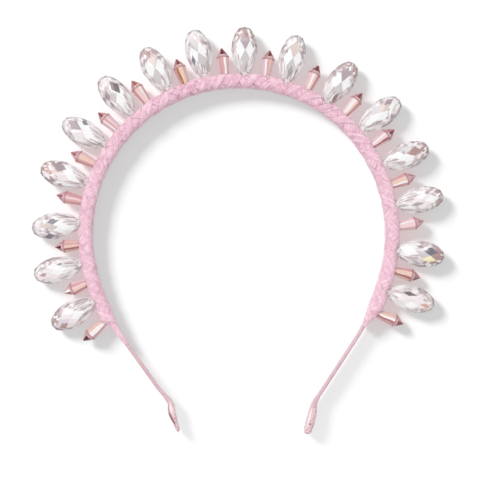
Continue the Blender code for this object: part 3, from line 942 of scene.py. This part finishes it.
# columns: where along the drop a change begins and ends, from its middle to its outer point
DROP_ZONES = {
    "led light": (-10.0 * MM, -8.2 * MM),
    "neck": (-9.0 * MM, -6.6 * MM),
    "streaks": (-6.0 * MM, 3.0 * MM),
    "pale rim": (-4.0 * MM, 1.0 * MM),
    "dusky rim": (-2.0 * MM, 6.0 * MM),
    "broad rim": (3.0 * MM, 9.6 * MM),
    "tip": (3.5 * MM, 7.5 * MM),
    "point": (8.8 * MM, 9.8 * MM),
}
for number, (sideways, lengthwise, lean, size, letters) in enumerate(DROP_LOOKS, start=1):
    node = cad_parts[f"drop_{number:02d}"]
    above, right, below, left, tip = [TINTS[letter] for letter in letters]
    glass = Finish(f"clear_glass_{number:02d}", Roughness=0.0, IOR=GLASS_IOR, Transmission_Weight=1.0)
    inside, x, y = stone_place(glass, node)
    share, half = stone_half(glass, y, DROP_REACH, DROP_OUTLINE, DROP_UNIT)
    u = x / half

    # many small facets, which show as flecks towards the tip and as streaks towards the inner end
    bend = glass.noise(inside, BEND_SCALE, 1.0) - 0.5
    spin = u * SPIN_CELLS + bend * SPIN_BEND
    rise = share**RISE_POWER * RISE_CELLS
    cell = glass.join(spin + rise, spin - rise, float(number))
    small_cell = glass.node("VectorMath", {"operation": "FLOOR"}, {0: cell})
    small = glass.node("TexWhiteNoise", {"noise_dimensions": "3D"}, {"Vector": small_cell})
    outer = glass.node("ValToRGB", {"steps": "CONSTANT", "stops": FLECK_STOPS}, {"Fac": small})
    lines = glass.join(u * STREAK_SCALES[0], y * STREAK_SCALES[1], float(number))
    streak = glass.noise(lines, 1.0, 2.0, 0.6)
    lined = glass.node("ValToRGB", {"stops": STREAK_STOPS}, {"Fac": streak})
    outer = glass.mix(glass.spread(y, *DROP_ZONES["streaks"], 0.85, 0.15), outer, lined)
    near_tip = glass.spread(y, *DROP_ZONES["tip"], 0.0, 0.85)
    outer = glass.mix(near_tip * (small > 0.45) * (0.35 + streak), outer, tip)

    # four large facets that meet at one point
    sockets = {
        "Vector": inside,
        "Location": (sideways * MM, lengthwise * MM, 0.0),
        "Rotation": (0.0, 0.0, math.radians(lean)),
        "Scale": (FACET_WIDTH * size, FACET_LENGTH * size, 1.0),
    }
    lattice = glass.node("Mapping", {"vector_type": "TEXTURE"}, sockets)
    lattice_x = glass.part(lattice, 0)
    lattice_y = glass.part(lattice, 1)
    rising = lattice_x + lattice_y + bend * FACET_BEND
    falling = lattice_x - lattice_y + bend * FACET_BEND
    upper = glass.mix(falling > 0.0, above, right)
    lower = glass.mix(falling > 0.0, left, below)
    main = glass.mix(rising > 0.0, lower, upper)
    rising_edge = glass.spread(abs(rising), *FACET_LINE, 1.0, 0.0)
    falling_edge = glass.spread(abs(falling), *FACET_LINE, 1.0, 0.0)
    main = glass.mix((rising_edge + falling_edge) * 0.25, main, EDGE_TINT)
    ragged = RAGGED_END + (streak - 0.5) * RAGGEDNESS
    among_main = (abs(rising) < ragged) * (abs(falling) < ragged) * (abs(u) < FACETS_END)
    tint = glass.mix(among_main, outer, main)

    for drop, accent_x, accent_y, half_width, half_length, letter in DROP_ACCENTS:
        if drop == number:
            beside = abs(x - accent_x * MM) / (half_width * MM) + abs(y - accent_y * MM) / (half_length * MM)
            tint = glass.mix((beside + bend * 0.5 < 1.0) * 0.9, tint, TINTS[letter])

    # painted reflections: dark flecks of the tape at the inner end, a rim that is pale below and dusky
    # above, a dark point
    fleck = glass.noise(inside, FLECK_SCALE, 2.0)
    at_neck = glass.spread(y, *DROP_ZONES["neck"], 1.0, 0.0)
    tint = glass.mix(at_neck * (fleck > 0.50) * 0.6, tint, TINTS["O"])
    tint = glass.mix(at_neck * (fleck > 0.57) * 0.6, tint, TINTS["B"])
    in_rim = half - abs(x) < glass.spread(y, *DROP_ZONES["broad rim"], *RIM_WIDTHS)
    pale_rim = glass.spread(y, *DROP_ZONES["pale rim"], 0.75, 0.0)
    tint = glass.mix(in_rim * pale_rim, tint, TINTS["W"])
    dusky_rim = glass.spread(y, *DROP_ZONES["dusky rim"], 0.0, 0.6) * (0.6 + small * 0.8)
    tint = glass.mix(in_rim * dusky_rim, tint, EDGE_TINT)
    at_point = glass.spread(y, *DROP_ZONES["point"], 0.0, 0.8) * (0.5 + small * 0.7)
    tint = glass.mix(at_point, tint, POINT_TINT)
    glass.shade(Base_Color=glass.mix(0.4, TINTS["W"], tint))

    # a painted glow at the inner end, standing in for light that the glass leads down into it, which the
    # tape shades from outside
    led = glass.mix(glass.spread(y, *DROP_ZONES["led light"], 1.0, 0.0), NO_LIGHT, LED_LIGHT)
    facets = {"Base_Color": tint, "Roughness": 0.12, "IOR": FACET_IOR}
    glow = {"Emission_Color": led, "Emission_Strength": 1.0}
    node.data.materials[0] = glass.cover(FACET_SHARE, **facets, **glow)


# Rose spikes: six-sided rose glass with a dark pyramid point and a light bevelled shoulder, bound
# between the drops. Each facet shows the glass's rose with a painted reflection, in crisp lengthwise bands.
ROSES = {
    "W": (1.00, 0.98, 0.98),
    "P": (0.93, 0.70, 0.73),
    "L": (0.93, 0.76, 0.86),
    "T": (0.90, 0.66, 0.55),
    "Y": (0.90, 0.70, 0.48),
    "R": (0.76, 0.42, 0.43),
    "M": (0.44, 0.16, 0.16),
    "A": (0.42, 0.15, 0.03),
    "Q": (0.60, 0.36, 0.38),
    "N": (0.44, 0.20, 0.22),
    "C": (0.31, 0.10, 0.11),
    "E": (0.17, 0.03, 0.04),
    "D": (0.10, 0.0, 0.005),
    "K": (0.34, 0.09, 0.04),
}
SIDE_TINT = (0.85, 0.50, 0.54)
SHOULDER_TINT = (0.58, 0.26, 0.28)
RING_DEEP = (0.58, 0.34, 0.36)
RING_PALE = (0.80, 0.60, 0.62)
# columns: tints of the five bands from left to right, tints of the point's three facets
SPIKE_LOOKS = (
    ("RWWTT", "DDQ"),
    ("RTPRP", "CWQ"),
    ("TMTRT", "CDQ"),
    ("RRPRR", "NCQ"),
    ("RRTTP", "QCN"),
    ("PWRPL", "NEN"),
    ("RPTWR", "NKK"),
    ("RAYTP", "NEC"),
    ("PRRWP", "QDE"),
    ("LWRTL", "NDE"),
    ("PPWTR", "CEE"),
    ("PWWTR", "NEC"),
    ("PWPMP", "NEC"),
    ("RTTWR", "NQN"),
    ("PWPPP", "QNQ"),
    ("RTTMT", "NNE"),
    ("TTWMR", "QCE"),
)
SPIKE_REACH = 5.9 * MM
SPIKE_UNIT = 3.0 * MM
# columns: share of the length from the inner to the outer end, half the width in units of 3 mm
SPIKE_OUTLINE = ((0.0, 0.56), (0.67, 0.885), (0.703, 0.885), (0.797, 0.63), (1.0, 0.07))
BAND_EDGES = (-0.62, -0.22, 0.20, 0.60)
POINT_EDGES = (-0.30, 0.32)
SIDE_STARTS = 0.86
SHOULDER_LEVEL = 2.0 * MM
SHOULDER_DIP = 0.35 * MM
RING_LEVEL = 2.3 * MM
POINT_LEVEL = 3.30 * MM
WANDER_SCALE = (500.0, 170.0, 500.0)
WANDER = 0.5
BAND_LINE = (0.02, 0.08)
POINT_SHARE = 0.17
for number, (bands, point_bands) in enumerate(SPIKE_LOOKS, start=1):
    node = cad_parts[f"spike_{number:02d}"]
    rose = Finish(f"rose_glass_{number:02d}", Roughness=0.02, IOR=GLASS_IOR, Transmission_Weight=1.0)
    inside, x, y = stone_place(rose, node)
    share, half = stone_half(rose, y, SPIKE_REACH, SPIKE_OUTLINE, SPIKE_UNIT)
    u = x / half
    wander = rose.noise(rose.stretch(inside, WANDER_SCALE), 1.0, 1.0) - 0.5
    strayed = u + wander * WANDER
    tint = ROSES[bands[0]]
    lines = 0.0
    for edge, letter in zip(BAND_EDGES, bands[1:]):
        tint = rose.mix(strayed > edge, tint, ROSES[letter])
        lines = lines + rose.spread(abs(strayed - edge), *BAND_LINE, 1.0, 0.0)
    tint = rose.mix(lines * 0.45, tint, ROSES["R"])
    tint = rose.mix((abs(u) > SIDE_STARTS) * 0.6, tint, SIDE_TINT)
    point_tint = ROSES[point_bands[0]]
    for edge, letter in zip(POINT_EDGES, point_bands[1:]):
        point_tint = rose.mix(u > edge, point_tint, ROSES[letter])
    tint = rose.mix(y + abs(u) * SHOULDER_DIP > SHOULDER_LEVEL, tint, SHOULDER_TINT)
    tint = rose.mix(y > RING_LEVEL, tint, rose.mix(wander > 0.0, RING_DEEP, RING_PALE))
    in_point = y > POINT_LEVEL
    tint = rose.mix(in_point, tint, point_tint)
    rose.shade(Base_Color=tint)
    facets = {"Base_Color": tint, "Roughness": 0.15, "IOR": FACET_IOR}
    node.data.materials[0] = rose.cover(FACET_SHARE + in_point * POINT_SHARE, **facets)
